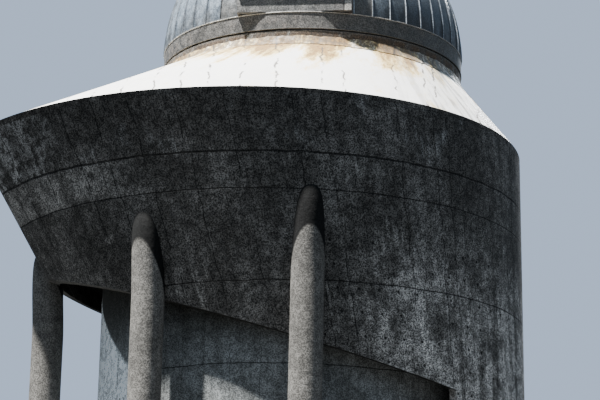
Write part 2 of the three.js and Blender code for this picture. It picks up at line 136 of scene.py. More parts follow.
# Drum and columns. Each column has its bearing in degrees, the level where its front meets the flare, and
# how far below that the painted shade on its head reaches at the front. Below 0 the front stays unshaded.
DRUM_CENTRE = -0.4
DRUM_RADIUS = 4.95
DRUM_WALL = 0.25
DRUM_TOP = 6.45
DRUM_LINE = 2.97
DRUM_SEGMENTS = 4
# Painted sunlight on the drum's left: its upper edge is a slanting line, given by a place in metres round and
# a slope.
PAINTED_SUN_PLACE = -5.8
PAINTED_SUN_SLOPE = 0.84
DOOR_BEARING = math.radians(166)
DOORWAY_HALF_WIDTH = 0.5203
DOORWAY_TOP = 2.1703
COLUMN_RADIUS = 0.4
COLUMNS = [(5.4, 7.0, 0.95), (-35.3, 6.5, 0.62), (-83.6, 6.37, -0.7), (-128, 6.5, -0.5), (-171, 6.9, -0.5),
           (145, 7.0, -0.5)]
HEAD_BULGE = 0.07
HEAD_LENGTH = 2.2
HEAD_ROUNDING = 0.45

SHARP_TURN = math.radians(30)
BLACKENED = (0.006, 0.006, 0.006)
SHELL_DARK = (0.05, 0.048, 0.045)


# Mesh making

def new_object(name, data):
    """An object in the scene's own collection."""
    thing = bpy.data.objects.new(name, data)
    bpy.context.scene.collection.objects.link(thing)
    return thing


def new_piece(name, points, faces, body, slot, materials, uv=None, material_index=None):
    """A mesh object from point and face arrays, smooth but for edges where its faces turn sharply. A map
    that is given for one face of a closed block serves its other face too."""
    mesh = bpy.data.meshes.new(name)
    points = points.reshape(-1, 3)
    mesh.from_pydata(points.tolist(), [], faces.tolist())
    if uv is not None:
        uv = uv.reshape(-1, 2)
        uv = np.tile(uv, (len(points) // len(uv), 1))
        loops = np.empty(len(mesh.loops), dtype=np.int32)
        mesh.loops.foreach_get("vertex_index", loops)
        layer = mesh.uv_layers.new(name="UVMap")
        layer.data.foreach_set("uv", uv[loops].astype(np.float32).ravel())
    mesh.shade_smooth()
    mesh.set_sharp_from_angle(angle=SHARP_TURN)
    for material in materials:
        mesh.materials.append(material)
    if material_index is not None:
        mesh.polygons.foreach_set("material_index", material_index.astype(np.int32))
    piece = new_object(name, mesh)
    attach(piece, body)
    return piece


def grid_quads(index):
    """Quads of a grid of point numbers, turned so that row direction x column direction is out."""
    corners = [index[:-1, :-1], index[1:, :-1], index[1:, 1:], index[:-1, 1:]]
    return np.stack(corners, axis=-1).reshape(-1, 4)


def closed_block(outer, inner):
    """Points and faces of a body between two grids of the same size, joined all round their borders. The
    outer grid's faces come first, then the inner one's, then the border's, which start along column 0."""
    rows, columns = outer.shape[:2]
    count = rows * columns
    index = np.arange(count).reshape(rows, columns)
    border = np.concatenate([index[:-1, 0], index[-1, :-1], index[:0:-1, -1], index[0, :0:-1]])
    following = np.roll(border, -1)
    rim = np.stack([following, border, border + count, following + count], axis=-1)
    faces = np.concatenate([grid_quads(index), grid_quads(index + count)[:, ::-1], rim])
    return np.stack([outer, inner]).reshape(-1, 3), faces


def joined(blocks):
    """Several closed bodies as one set of points and faces."""
    starts = np.cumsum([0] + [len(points) for points, _ in blocks[:-1]])
    points = np.concatenate([points for points, _ in blocks])
    faces = np.concatenate([faces + start for (_, faces), start in zip(blocks, starts)])
    return points, faces


def revolve(radius, level, bearings):
    """Points and faces of a closed profile, given as radii and levels, carried round the vertical axis.
    Either may also have one row per bearing, for a profile that changes on its way round."""
    points = together(*at_radius(radius, bearings[:, None]), level)
    rows, columns = points.shape[:2]
    index = np.arange(rows * columns).reshape(rows, columns)
    return points, grid_quads(np.pad(index, (0, 1), mode="wrap"))


def together(*parts):
    """Arrays side by side along a new last axis, as points or map places."""
    return np.stack(np.broadcast_arrays(*parts), axis=-1)


def at_radius(radius, bearing):
    """x and y of a point in plan."""
    return radius * np.sin(bearing), -radius * np.cos(bearing)


def full_turn(steps):
    return np.linspace(0, 2 * math.pi, steps, endpoint=False)


def wrapped(angle):
    """The same angle between minus and plus half a turn."""
    return (angle + math.pi) % (2 * math.pi) - math.pi


def mix(low, high, share):
    return low + (high - low) * share


def smooth_step(value, low, high):
    """0 below low, 1 above high and an even S-shaped rise between."""
    share = np.clip((value - low) / (high - low), 0, 1)
    return share * share * (3 - 2 * share)


# The shell's plan

def shell_plan(bearing, level):
    """Centre and radius of the shell's outer face: both change evenly with level, and near the nose the
    radius grows with the square of the angle that is left of the nose's reach."""
    share = (level - LOW_PLAN["level"]) / (RIM_PLAN["level"] - LOW_PLAN["level"])
    centre = mix(LOW_PLAN["centre"], RIM_PLAN["centre"], share)
    swollen = np.clip(NOSE_REACH - np.abs(wrapped(bearing - NOSE_BEARING)), 0, None) ** 2
    radius = mix(LOW_PLAN["radius"], RIM_PLAN["radius"], share)
    return centre, radius + swollen * mix(LOW_PLAN["swell"], RIM_PLAN["swell"], share)


def shell_point(bearing, level, inward=0.0):
    centre, radius = shell_plan(bearing, level)
    x, y = at_radius(radius - inward, bearing)
    return together(centre + x, y, level)


def edge_level(bearing, inward=0.0):
    """Level where a straight line of the shell, from ground to rim, passes the tilted bottom plane."""
    low = shell_point(bearing, 0.0, inward)
    high = shell_point(bearing, RIM_PLAN["level"], inward)
    base, rise_x, rise_y = EDGE_PLANE
    at_ground = base + rise_x * low[..., 0] + rise_y * low[..., 1]
    change = high - low
    return at_ground / (1 - (rise_x * change[..., 0] + rise_y * change[..., 1]) / RIM_PLAN["level"])


def flare_level(x, y):
    """Level at which the flare's outer face passes over a point of the ground, by repeated halving."""
    low = np.full(np.shape(x), -4.0)
    high = np.full(np.shape(x), 12.0)
    for _ in range(40):
        level = (low + high) / 2
        centre = shell_plan(0.0, level)[0]
        bearing = np.arctan2(x - centre, -y)
        inside = np.hypot(x - centre, y) < shell_plan(bearing, level)[1]
        high = np.where(inside, level, high)
        low = np.where(inside, low, level)
    return (low + high) / 2


def segment_bearings(index, count, steps):
    """Bearings across one of several equal segments of the shell, a fitting gap short of its ends."""
    width = 2 * math.pi / count
    gap = FIT / 2 / LOW_PLAN["radius"]
    start = FIRST_SEGMENT + index * width
    return np.linspace(start + gap, start + width - gap, steps + 1)


def shell_band(bearing, levels):
    """A stretch of the shell from the levels on its outer and its inner face: points, faces and map. The
    map has metres round, on a middle plan, and metres up, so board marks follow the straight lines."""
    grids = [shell_point(bearing, level, inward) for level, inward in zip(levels, (0.0, SHELL_WALL))]
    marks = [together(wrapped(bearing) * BOARD_PLAN_RADIUS, level) for level in levels]
    return *closed_block(*grids), np.stack(marks)


# Walls, roof and columns

def flare_wall(index, material, lip):
    """Straight lines of the shell from its bottom edge, or the ground, up to the rim joint."""
    bearing = segment_bearings(index, SHELL_SEGMENTS, 40)[:, None]
    share = np.linspace(0, 1, 25)[None, :]
    levels = []
    for inward in (0.0, SHELL_WALL):
        bottom = np.zeros_like(bearing) if index < GROUNDED_SEGMENTS else edge_level(bearing, inward)
        levels.append(mix(bottom, RIM_JOINT - FIT, share))
    points, faces, marks = shell_band(bearing, levels)
    along, up = levels[0].shape[0] - 1, levels[0].shape[1] - 1
    number = np.arange(len(faces)) - 2 * along * up
    on_lip = (number >= 0) & (number < along)
    name = f"flare_wall_{index + 1}"
    piece = new_piece(f"{name}_cast", points, faces, "building", "shell concrete", [material, lip], marks,
                      on_lip)
    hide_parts(name)


def roof_lines(bearing, drop):
    """Lower and upper end of the roof's straight lines, on a face that lies a drop below the outer one."""
    eave = shell_point(bearing, RIM_PLAN["level"])
    below = shell_point(bearing, RIM_PLAN["level"] - drop)
    top = together(*at_radius(CURB_RADIUS, bearing), ROOF_TOP)
    lean = np.linalg.norm(eave[..., :2] - below[..., :2], axis=-1)
    run = np.linalg.norm(eave[..., :2] - top[..., :2], axis=-1)
    start = eave + (top - eave) * (lean / run)[..., None] * np.array([1, 1, 0])
    return start - [0, 0, drop], top - [0, 0, drop]


def rim_wall(index, material):
    """Straight lines of the shell from the rim joint up to the roof's underside."""
    bearing = segment_bearings(index, ROOF_QUARTERS, 80)
    share = np.linspace(0, 1, 9)[None, :]
    eave, curb = roof_lines(bearing, ROOF_THICKNESS + CUT_FIT)
    run = np.linalg.norm(curb[:, :2] - eave[:, :2], axis=-1)
    tops = [eave[:, 2] + (curb[:, 2] - eave[:, 2]) * inward / run - CUT_FIT for inward in (0.0, SHELL_WALL)]
    points, faces, marks = shell_band(bearing[:, None], [mix(RIM_JOINT, top[:, None], share) for top in tops])
    name = f"rim_wall_{index + 1}"
    piece = new_piece(f"{name}_cast", points, faces, "building", "rim concrete", [material], marks)
    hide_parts(name)


def roof_slab(index, paint, concrete_edge):
    """Straight lines from rim to curb, painted on top. The edge and underside keep the rim's concrete."""
    bearing = segment_bearings(index, ROOF_QUARTERS, 80)
    share = np.linspace(0, 1, 13)[None, :, None]
    grids = []
    for drop in (0.0, ROOF_THICKNESS):
        eave, curb = roof_lines(bearing, drop)
        grids.append(mix(eave[:, None], curb[:, None], share))
    down = np.linalg.norm(grids[0] - grids[0][:, -1:], axis=-1)
    uv = together(wrapped(bearing)[:, None] * CURB_RADIUS, down)
    points, faces = closed_block(*grids)
    painted = (grids[0].shape[0] - 1) * (grids[0].shape[1] - 1)
    name = f"roof_slab_{index + 1}"
    piece = new_piece(f"{name}_painted", points, faces, "building", "roof paint", [paint, concrete_edge], uv,
                      np.arange(len(faces)) >= painted)
    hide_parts(name)


def drum_wall(name, start, end, bottom, top, material):
    """A stretch of a plain round wall between two bearings and two levels."""
    bearing = np.linspace(start, end, 61)[:, None]
    level = np.linspace(bottom, top, 21)[None, :]
    grids = []
    for radius in (DRUM_RADIUS, DRUM_RADIUS - DRUM_WALL):
        x, y = at_radius(radius, bearing)
        grids.append(together(DRUM_CENTRE + x, y, level))
    uv = together(wrapped(bearing) * DRUM_RADIUS, level)
    piece = new_piece(f"{name}_cast", *closed_block(*grids), "building", "drum concrete", [material], uv)
    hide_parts(name)


def drum(material):
    """Equal walls from one side of the doorway round to the other, and the lintel over it."""
    half = math.asin(DOORWAY_HALF_WIDTH / (DRUM_RADIUS - DRUM_WALL))
    width = (2 * math.pi - 2 * half) / DRUM_SEGMENTS
    gap = FIT / 2 / DRUM_RADIUS
    for index in range(DRUM_SEGMENTS):
        start = DOOR_BEARING + half + index * width
        drum_wall(f"drum_wall_{index + 1}", start + gap, start + width - gap, 0.0, DRUM_TOP, material)
    drum_wall("door_lintel", DOOR_BEARING - half + 2 * gap, DOOR_BEARING + half - 2 * gap,
              DOORWAY_TOP, DRUM_TOP, material)


def head_bulge(level, meets):
    """How far a column's head stands out from its shaft: it grows smoothly over the head's length and
    rounds off as a quarter ellipse at the top."""
    top = meets + 0.05
    swell = smooth_step(level, top - HEAD_LENGTH, top - 0.5)
    cap = np.clip((level - (top - HEAD_ROUNDING)) / HEAD_ROUNDING, 0, 1)
    return HEAD_BULGE * swell * np.sqrt(1 - cap ** 2)


def column(index, bearing, meets, darkened, material):
    """A cylinder whose head swells a little and ends where it runs into the flare. Every line up its side
    stops at the level, found by repeated halving, where the flare's outer face passes over it."""
    angle = math.radians(bearing)
    outward = at_radius(1, angle)
    centre = shell_point(np.array(angle), np.array(meets), COLUMN_RADIUS)[:2]
    turns = full_turn(96)
    round_x, round_y = at_radius(COLUMN_RADIUS, turns + angle)

    def side_point(level):
        bulge = head_bulge(level, meets)
        return centre[0] + round_x + bulge * outward[0], centre[1] + round_y + bulge * outward[1]

    def limit(x, y):
        base, rise_x, rise_y = EDGE_PLANE
        return np.maximum(base + rise_x * x + rise_y * y, flare_level(x, y)) - CUT_FIT

    low, high = np.full(len(turns), 2.0), np.full(len(turns), meets + 0.1)
    for _ in range(24):
        middle = (low + high) / 2
        below = middle < limit(*side_point(middle))
        low, high = np.where(below, middle, low), np.where(below, high, middle)
    level = low * (1 - (1 - np.linspace(0, 1, 60)[:, None]) ** 1.5)
    side = together(*side_point(level), level)
    inward = np.linspace(0, 1, 9)[1:, None, None]
    cap = mix(side[-1:], np.array([*centre, low.mean()]), inward)
    foot = mix(side[:1], np.array([*centre, 0.0]), inward)[::-1]
    rows = np.concatenate([foot, side, cap])
    # The map's second number is metres below the lower edge of the painted shade on the head, at the front.
    uv = together(wrapped(turns) * COLUMN_RADIUS, meets - darkened - rows[..., 2])
    grid = np.arange(rows.shape[0] * rows.shape[1]).reshape(rows.shape[:2])
    grid = np.concatenate([grid, grid[:, :1]], axis=1)
    name = f"column_{index + 1}"
    piece = new_piece(f"{name}_shaft", rows, grid_quads(grid)[:, ::-1], "building", "column concrete",
                      [material], uv)
    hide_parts(name)


# Dome

def to_dome(points):
    """Turns points from the dome's own frame, whose slit faces -Y, into the part's frame."""
    cos, sin = math.cos(SLIT_BEARING), math.sin(SLIT_BEARING)
    x, y, z = points[..., 0], points[..., 1], points[..., 2]
    return np.stack([x * cos - y * sin, x * sin + y * cos, z + DOME_CENTRE], axis=-1)


def rib_relief(bearing, elevation):
    """Height of the standing ribs: a raised strip of even width on every rib's meridian. Under the shutter
    the ribs are lower, and they run out at the slit, so that the shutter passes over them."""
    number = np.clip(np.round((np.abs(bearing) - FIRST_RIB) / RIB_SPACING), 0, RIB_COUNT)
    offset = (np.abs(bearing) - FIRST_RIB - number * RIB_SPACING) * DOME_RADIUS * np.cos(elevation)
    across = SHEET_RADIUS * np.cos(elevation) * np.abs(np.sin(bearing))
    lowered = LOW_RIB_HEIGHT * np.clip((across - SLIT_HALF_WIDTH) / 0.1, 0, 1)
    height = np.where(across < SHUTTER_HALF_WIDTH + 0.04, lowered, RIB_HEIGHT)
    return height * np.clip(1.6 - np.abs(offset) / (RIB_WIDTH / 2), 0, 1)


def rib_bearings(side):
    """Bearings from one edge of the slit's strip to its other one round the side, close across each rib and
    where the sheet's edge climbs steeply beside the strip."""
    edge = math.asin(SLIT_HALF_WIDTH / DOME_RADIUS) + 1e-4
    climb = np.linspace(0, math.acos(SLIT_HALF_WIDTH / DOME_RADIUS), 60)[:-1]
    beside = np.arcsin(SLIT_HALF_WIDTH / DOME_RADIUS / np.cos(climb))
    ribs = FIRST_RIB + RIB_SPACING * np.arange(RIB_COUNT + 1)
    across = np.array([-1.7, -0.8, -0.5, 0, 0.5, 0.8, 1.7]) * RIB_WIDTH / DOME_RADIUS
    between = np.concatenate([np.linspace(edge, math.pi - edge, 100), beside, math.pi - beside])
    bearings = np.unique(np.concatenate([(ribs[:, None] + across).ravel(), between]).round(5))
    bearings = bearings[(bearings >= edge) & (bearings <= math.pi - edge)]
    return side * bearings[::side]


def dome_side(side, name, material):
    """Ribbed sheet beside the slit: on each bearing it rises to the plane at the slit's edge."""
    bearing = rib_bearings(side)[:, None]
    plan = SLIT_HALF_WIDTH / np.abs(np.sin(bearing))
    highest = np.arccos(np.clip(plan / DOME_RADIUS, 0, 1))
    elevation = highest * np.linspace(0, 1, 49)[None, :] + FIT
    grids = []
    for radius in (SHEET_RADIUS + rib_relief(bearing, elevation), SHEET_RADIUS - DOME_SKIN):
        x, y = at_radius(radius * np.cos(elevation), bearing)
        grids.append(to_dome(together(x, y, radius * np.sin(elevation))))
    piece = new_piece(f"dome_sheet_{name}", *closed_block(*grids), "dome", "dome metal", [material],
                      together(bearing, elevation))
    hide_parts(*[f"dome_skin_{name}_{part}" for part in (1, 2, 3)])


def dome_back(material):
    """Sheet behind the slit's upper end: arcs across the dome, with low battens along them."""
    near = np.array([-1.5, -0.9, 0, 0.9, 1.5]) * RIB_WIDTH / 2
    across = np.concatenate([(BATTENS[:, None] + near).ravel(), np.linspace(-1.199, 1.199, 17)])
    across = np.unique(across.round(5))[::-1, None]
    elevation = np.linspace(SLIT_END, math.pi - FIT, 61)[None, :]
    beside = np.min(np.abs(across[..., None] - BATTENS), axis=-1)
    relief = BATTEN_HEIGHT * np.clip(1.6 - beside / (RIB_WIDTH / 2), 0, 1)
    outer = np.sqrt(SHEET_RADIUS ** 2 - across ** 2) + relief
    inner = np.sqrt((SHEET_RADIUS - DOME_SKIN) ** 2 - across ** 2)
    grids = [to_dome(together(across, -radius * np.cos(elevation), radius * np.sin(elevation)))[::-1]
             for radius in (outer, inner)]
    uv = together(across * 0 + math.pi, math.pi - elevation)
    piece = new_piece("dome_sheet_back", *closed_block(*grids), "dome", "dome metal", [material], uv)
    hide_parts("dome_skin_back")


def dome_skirt(material):
    """A plain skirt with a drip lip along its foot, and the flange inside that runs on the rail."""
    low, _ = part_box("dome_skirt")
    foot = low.z - DOME_CENTRE
    flange = CURB_TOP + RAIL_HEIGHT + 2 * FIT - DOME_CENTRE
    profile = np.array([
        (3.97, foot), (3.99, foot), (4.0, foot + 0.008), (4.0, foot + 0.03), (3.988, foot + 0.036),
        (3.988, -0.006), (3.982, 0.0), (3.97, 0.0), (3.97, flange + 0.08),
        (FLANGE_INNER, flange + 0.08), (FLANGE_INNER, flange), (3.97, flange),
    ])
    bearing = full_turn(RING_STEPS)
    points, faces = revolve(*profile.T, bearing)
    uv = together(wrapped(bearing)[:, None], profile[:, 1])
    piece = new_piece("dome_skirt_sheet", to_dome(points), faces, "dome", "dome metal", [material], uv)
    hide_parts("dome_skirt")


def dome_flashing(material):
    """A thin bright strip with a rounded top that closes the joint between ribbed sheet and skirt."""
    profile = np.array([(3.9885, -0.014), (4.002, -0.014), (4.007, -0.009), (4.007, 0.006), (4.003, 0.012),
                        (3.996, 0.014), (3.9885, 0.012)])
    points, faces = revolve(*profile.T, full_turn(RING_STEPS))
    new_piece("dome_flashing_strip", to_dome(points), faces, "dome", "dome metal", [material])


def dome_curb(material):
    """A ring with slightly bevelled upper edges."""
    low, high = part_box("dome_curb")
    inner, outer = CURB_RADIUS - CURB_WIDTH, CURB_RADIUS - FIT
    profile = np.array([(inner, low.z), (outer, low.z), (outer, high.z - 0.015),
                        (outer - 0.015, high.z), (inner + 0.01, high.z), (inner, high.z - 0.01)])
    points, faces = revolve(*profile.T, full_turn(CURB_STEPS))
    piece = new_piece("dome_curb_band", points, faces, "building", "curb steel", [material])
    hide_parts("dome_curb")


def roof_level(radius, bearing):
    """Level of the roof at a small distance outside the curb: it falls evenly towards the eave."""
    eave, curb = roof_lines(bearing, 0.0)
    slope = (curb[:, 2] - eave[:, 2]) / np.linalg.norm((curb - eave)[:, :2], axis=-1)
    return ROOF_TOP - (radius - CURB_RADIUS) * slope[:, None] + CUT_FIT


def curb_collar(material):
    """A collar of mortar round the curb, from the roof to a little below the skirt's foot."""
    bearing = full_turn(RING_STEPS)
    radius = CURB_RADIUS + np.array([0.0, 0.0, 0.118, 0.128, 0.132, 0.1325])
    level = roof_level(radius, bearing)
    level[:, 1:3] = COLLAR_TOP
    level[:, 3] = COLLAR_TOP - 0.012
    level[:, 4] = COLLAR_TOP - 0.1
    points, faces = revolve(radius[::-1], level[:, ::-1], bearing)
    new_piece("curb_mortar_collar", points, faces, "building", "curb steel", [material])


def waver(bearing, shift):
    """Uneven height of hand-laid mortar, as a sum of sines round the turn."""
    waves = ((3, 2.4), (5, 1.6), (13, 2.0), (31, 1.8), (67, 2.2), (139, 2.5))
    return sum(np.sin(bearing * turns + shift + turns ** 1.7) / strength for turns, strength in waves)


def curb_fillet(material):
    """A rough painted fillet in the corner of roof and collar. Its height and reach waver with bearing."""
    bearing = full_turn(3 * RING_STEPS)
    height = FILLET_SIZE + 0.014 * waver(bearing, 0.0)[:, None]
    reach = FILLET_SIZE + 0.018 * waver(bearing, 2.0)[:, None]
    ends = np.array([0.0, 0.1, 0.3, 0.62, 1.0, 0.0])
    rises = np.array([1.0, 0.86, 0.5, 0.2, 0.0, 0.0])
    radius = CURB_RADIUS + 0.1335 + reach * ends
    level = roof_level(radius, bearing) + height * rises
    points, faces = revolve(radius[:, ::-1], level[:, ::-1], bearing)
    uv = together(wrapped(bearing)[:, None] * CURB_RADIUS, radius - CURB_RADIUS)
    new_piece("curb_mortar_fillet", points, faces, "building", "roof paint", [material], uv[:, ::-1])


# Shutter

def arc_block(near, far, start, end, inner, outer, steps):
    """A plate that follows the arc over the dome, between two distances from the slit's middle plane. Each
    point lies at an elevation from the front, at a distance from the shutter's axis."""
    across = np.array([near, far])[:, None]
    elevation = np.linspace(start, end, steps + 1)[None, :]
    return closed_block(*[to_dome(together(across, -radius * np.cos(elevation), radius * np.sin(elevation)))
                          for radius in (outer, inner)])


def shutter_cover(material):
    """The curved cover, with a low lap joint every ten degrees and a folded hem down each side."""
    half = SHUTTER_HALF_WIDTH
    face = SHUTTER_RADIUS + FIT
    blocks = [arc_block(-half, half, SHUTTER_START, SHUTTER_END, SHUTTER_RADIUS - SHUTTER_SKIN,
                        SHUTTER_RADIUS, 90)]
    for near in (-half, half - HEM_WIDTH):
        blocks.append(arc_block(near, near + HEM_WIDTH, SHUTTER_START, SHUTTER_END, face,
                                SHUTTER_RADIUS + HEM_HEIGHT, 90))
    inside = half - HEM_WIDTH - FIT
    for lap in range(1, LAPS + 1):
        start = SHUTTER_START + math.radians(LAP_DEGREES * lap)
        blocks.append(arc_block(-inside, inside, start, start + LAP_SPAN, face,
                                SHUTTER_RADIUS + LAP_HEIGHT, 2))
    piece = new_piece("shutter_cover_sheet", *joined(blocks), "shutter", "shutter metal", [material])
    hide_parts("shutter_cover")


def shutter_apron(material, flange_material):
    """The set-back lower end: a front plate beside a narrow bright flange, with a dark groove between them,
    side returns, a floor, and a web out to the cover."""
    half, skin = SHUTTER_HALF_WIDTH, SHUTTER_SKIN
    top = SHUTTER_START - FIT
    plate = APRON_RADIUS - skin
    back = plate - 0.01
    floor_top = APRON_START + skin / SHUTTER_RADIUS
    web_foot = top - skin / SHUTTER_RADIUS
    piece = new_piece("shutter_apron_sheet", *joined([
        arc_block(-half, half - APRON_FLANGE - APRON_GROOVE, APRON_START, top, plate, APRON_RADIUS, 8),
        arc_block(-half, half, APRON_START, top, back, plate - FIT, 8),
        arc_block(-half, -half + skin, APRON_START, top, CHEEK_RADIUS, back - FIT, 8),
        arc_block(half - skin, half, APRON_START, top, CHEEK_RADIUS, back - FIT, 8),
        arc_block(-half, half, APRON_START, floor_top, CHEEK_RADIUS, back - FIT, 2),
        arc_block(-half, half, web_foot, top, APRON_RADIUS + FIT, SHUTTER_RADIUS, 2),
    ]), "shutter", "shutter metal", [material])
    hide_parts("shutter_apron")
    flange = arc_block(half - APRON_FLANGE, half, APRON_START, top, plate, APRON_RADIUS, 8)
    new_piece("shutter_apron_flange", *flange, "shutter", "shutter metal", [flange_material])


def paint_frame_nodes(materials):
    """Gives every CAD node that is still shown the material of its slot."""
    for row in frame["record"]["subparts"]:
        node = frame["nodes"][row["node"]]
        node.data.materials.clear()
        node.data.materials.append(materials[row["material_slot"]])


# Shader nodes

class Value:
    """What a shader node puts out, with plain arithmetic between it and numbers or other values."""

    def __init__(self, socket):
        self.socket = socket
        self.tree = socket.id_data

    def math(self, operation, first, second=0.0):
        return add_node(self.tree, "ShaderNodeMath", {0: first, 1: second}, operation=operation)

    def apply(self, operation):
        return self.math(operation, self)

    def __add__(self, other):
        return self.math("ADD", self, other)

    def __sub__(self, other):
        return self.math("SUBTRACT", self, other)

    def __rsub__(self, other):
        return self.math("SUBTRACT", other, self)

    def __mul__(self, other):
        return self.math("MULTIPLY", self, other)

    def __truediv__(self, other):
        return self.math("DIVIDE", self, other)

    def __abs__(self):
        return self.apply("ABSOLUTE")


def add_node(tree, kind, inputs=None, output=0, **settings):
    """One output of a new node, whose inputs are set to numbers or colours or linked to values."""
    node = tree.nodes.new(kind)
    for name, value in settings.items():
        setattr(node, name, value)
    for name, value in (inputs or {}).items():
        connect(value, node.inputs[name])
    return Value(node.outputs[output])


def connect(value, socket):
    """Links a value to an input, or sets the input to a number, a vector, or a colour without its alpha."""
    if isinstance(value, Value):
        value.tree.links.new(value.socket, socket)
    elif socket.type == "RGBA":
        socket.default_value = (*value, 1)
    else:
        socket.default_value = value


def blend(tree, factor, first, second, kind="MIX"):
    return add_node(tree, "ShaderNodeMix", {0: factor, 6: first, 7: second}, 2, data_type="RGBA",
                    blend_type=kind)


def ramp(value, low, high, bottom=0.0, top=1.0):
    """A smooth change from bottom to top as the value goes from low to high."""
    return add_node(value.tree, "ShaderNodeMapRange", {0: value, 1: low, 2: high, 3: bottom, 4: top},
                    interpolation_type="SMOOTHSTEP")


def noise(place, scale, detail=4.0, roughness=0.55):
    inputs = {"Vector": place, "Scale": scale, "Detail": detail, "Roughness": roughness}
    return add_node(place.tree, "ShaderNodeTexNoise", inputs, "Fac")


def random_share(place):
    """A number from 0 to 1 that differs from cell to cell."""
    return add_node(place.tree, "ShaderNodeTexWhiteNoise", {"Vector": place}, "Value",
                    noise_dimensions="3D")


def mapped(place, scale=(1, 1, 1), offset=(0, 0, 0)):
    return add_node(place.tree, "ShaderNodeMapping", {"Vector": place, "Scale": scale, "Location": offset})


def flat_place(around, up):
    return add_node(around.tree, "ShaderNodeCombineXYZ", {0: around, 1: up})


def split(vector):
    """The three numbers of a vector."""
    node = vector.tree.nodes.new("ShaderNodeSeparateXYZ")
    connect(vector, node.inputs[0])
    return [Value(socket) for socket in node.outputs]


def object_place(tree):
    return add_node(tree, "ShaderNodeTexCoord", output="Object")


# Shared groups

def new_group(name, outputs, **inputs):
    """A shader node group with named float inputs and outputs: its tree, the inputs' values, and the sockets
    for its outputs."""
    tree = bpy.data.node_groups.new(name, "ShaderNodeTree")
    for title, value in inputs.items():
        socket = tree.interface.new_socket(title, in_out="INPUT", socket_type="NodeSocketFloat")
        socket.default_value = value
    for title in outputs:
        tree.interface.new_socket(title, in_out="OUTPUT", socket_type="NodeSocketFloat")
    source = tree.nodes.new("NodeGroupInput").outputs
    given = [Value(source[title]) for title in inputs]
    return tree, given, tree.nodes.new("NodeGroupOutput").inputs


def weathering_group():
    """Clouds, blots, mottle, grain and pits of an old surface, as values from 0 to 1."""
    tree, _, out = new_group("weathering", ["Clouds", "Blots", "Mottle", "Grain", "Pits"])
    place = object_place(tree)
    connect(ramp(noise(place, 0.55, 6.0, 0.6), 0.38, 0.62), out["Clouds"])
    connect(ramp(noise(mapped(place, offset=(7, 3, 1)), 1.3, 7.0, 0.68), 0.47, 0.62), out["Blots"])
    connect(ramp(noise(mapped(place, offset=(2, 9, 5)), 5.5, 5.0, 0.66), 0.36, 0.64), out["Mottle"])
    connect(ramp(noise(place, 30.0, 2.0, 0.8), 0.40, 0.60), out["Grain"])
    pits = add_node(tree, "ShaderNodeTexVoronoi", {"Vector": place, "Scale": 7.0}, "Distance")
    connect(ramp(pits, 0.13, 0.06), out["Pits"])


def streak_group():
    """Rain streaks from metres round and up, as a mask: noise that is drawn out in the up direction."""
    _, (around, up, fineness), out = new_group("streaks", ["Mask"], Around=0.0, Up=0.0, Fineness=1.0)
    place = flat_place(around * fineness, up * 0.16)
    connect(ramp(noise(place, 2.4, 6.0, 0.66), 0.45, 0.62), out["Mask"])


def board_group():
    """Lines and tones of the boards that the concrete was cast against, from metres round and up."""
    _, (around, up, width), out = new_group("board_marks", ["Line", "Tone"], Around=0.0, Up=0.0,
                                            Width=BOARD_WIDTH)
    share = around / width
    number = share.apply("FLOOR")
    edge = abs(share.apply("FRACT") - 0.5)
    lift = (up * 0.55).apply("FLOOR")
    broken = ramp(noise(flat_place(number, up), 0.9, 3.0), 0.4, 0.6)
    connect(ramp(edge, 0.44, 0.5) * broken, out["Line"])
    connect(random_share(flat_place(number, lift)), out["Tone"])


def joint_group():
    """A thin line at a level, drawn as a mask that wavers a little."""
    tree, (up, level, width), out = new_group("joint_line", ["Line"], Up=0.0, Level=0.0, Width=0.02)
    uneven = ramp(noise(object_place(tree), 1.6), 0.3, 0.7, -0.01, 0.01)
    connect(ramp(abs(up - level + uneven) / width, 1.0, 0.3), out["Line"])


def crack_group():
    """Hair cracks that run up: one wavering line in each strip of the given spacing, broken here and
    there."""
    tree, (around, up, spacing, width, wander), out = new_group(
        "cracks", ["Line"], Around=0.0, Up=0.0, Spacing=1.0, Width=0.016, Wander=0.3)
    bend = noise(flat_place(around, up), 1.1, 4.0, 0.6)
    share = (around + bend * wander) / spacing
    number = share.apply("FLOOR")
    cell = add_node(tree, "ShaderNodeTexWhiteNoise", {"W": number}, "Value", noise_dimensions="1D")
    centre = ramp(cell, 0.0, 1.0, 0.15, 0.85)
    away = abs(share.apply("FRACT") - centre) * spacing
    broken = noise(flat_place(number, up * 0.8), 1.3, 3.0)
    connect(ramp(away / width, 1.0, 0.2) * ramp(broken, 0.4, 0.48), out["Line"])


def tie_hole_group():
    """Small round holes on a lattice of metres round and up, some of them filled."""
    _, (around, up, spacing), out = new_group("tie_holes", ["Dot"], Around=0.0, Up=0.0, Spacing=0.55)
    shares = [around / spacing, up / spacing]
    offsets = [(share.apply("FRACT") - 0.5) * spacing for share in shares]
    away = (offsets[0] * offsets[0] + offsets[1] * offsets[1]).apply("SQRT")
    kept = random_share(flat_place(*[share.apply("FLOOR") for share in shares]))
    connect(ramp(away, 0.045, 0.028) * ramp(kept, 0.3, 0.35), out["Dot"])


# Materials

